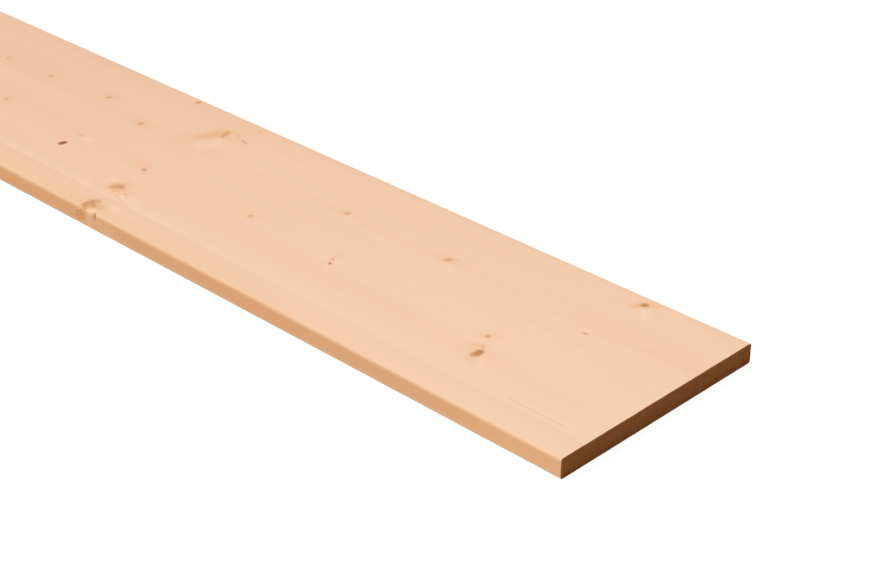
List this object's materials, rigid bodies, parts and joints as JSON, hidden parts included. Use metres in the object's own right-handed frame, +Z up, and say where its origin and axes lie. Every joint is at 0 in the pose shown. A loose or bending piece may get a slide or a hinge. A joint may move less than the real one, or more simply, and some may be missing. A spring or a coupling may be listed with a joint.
{
  "type": "timber lumber plank",
  "caption": "Long flat planed softwood board with eased long edges and square sawn ends, for shelving, cladding, formwork and general joinery.",
  "frame": {"origin": "middle of the underside, on the level surface that the board lies on", "axes": "+X along the grain towards the sawn end nearest the camera, +Y across the width towards the far long edge, +Z up out of the face that shows"},
  "size_m": [2, 0.225, 0.018],
  "materials": {
    "planed_softwood": "matte"
  },
  "bodies": {
    "root": {"plank": "planed_softwood"}
  },
  "joints": []
}
